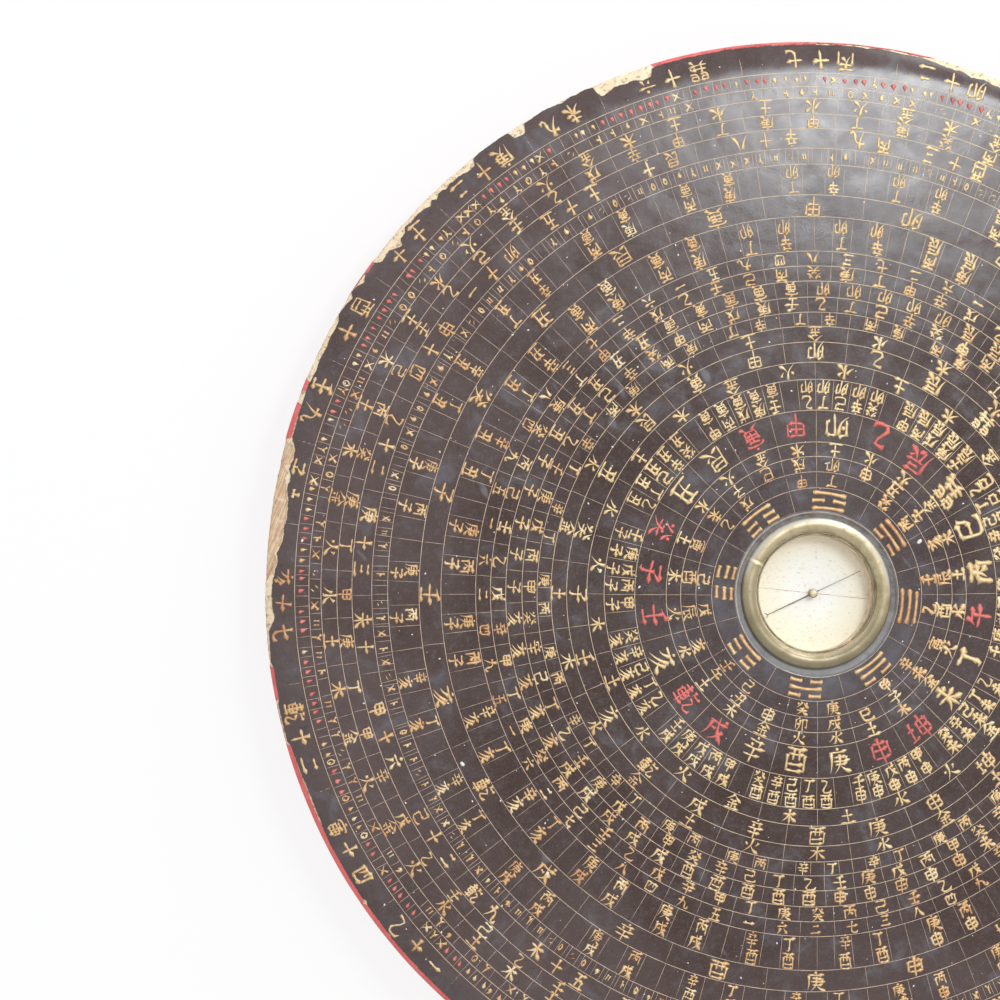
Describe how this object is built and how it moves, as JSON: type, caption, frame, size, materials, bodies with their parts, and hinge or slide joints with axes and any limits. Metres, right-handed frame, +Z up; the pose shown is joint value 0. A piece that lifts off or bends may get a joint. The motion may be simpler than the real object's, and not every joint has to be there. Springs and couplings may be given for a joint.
{
  "type": "feng shui compass",
  "caption": "Feng shui compass: a gently domed round wooden board in black and red lacquer, with a small glazed brass needle compass let into its centre.",
  "frame": {"origin": "on the table, in the middle of the foot, under the point that the needle turns on", "axes": "+Z up out of the painted face along the needle's axis; +X to the right and +Y to the top of the picture"},
  "size_m": [0.322, 0.322, 0.0253],
  "materials": {
    "wood": "raw turned wood, bare only where the coats have chipped off",
    "chalk_ground": "matt chalk and glue ground under the black lacquer",
    "black_lacquer": "old brown-black lacquer, satin, with incised lines and painted marks",
    "red_lacquer": "red lacquer, satin",
    "brass": "aged olive brass",
    "putty": "dried lacquer putty",
    "glass": "clear flat glass",
    "paper": "foxed cream paper",
    "steel": "dark thin steel"
  },
  "bodies": {
    "disc": {"wood_disc": "wood", "ground_coat": "chalk_ground", "face_lacquer": "black_lacquer", "rim_lacquer": "red_lacquer", "bezel_ring": "brass", "compass_cup": "brass", "cup_bedding": "putty", "compass_glass": "glass", "split_ring": "brass", "paper_dial": "paper", "pivot_pin": "steel"},
    "needle": {"needle": "steel", "needle_cap": "brass"}
  },
  "joints": [
    {"name": "needle_spin", "type": "hinge", "parent": "disc", "child": "needle", "pos_m": [0, 0, 0.01965], "axis": [0, 0, 1], "continuous": true}
  ]
}
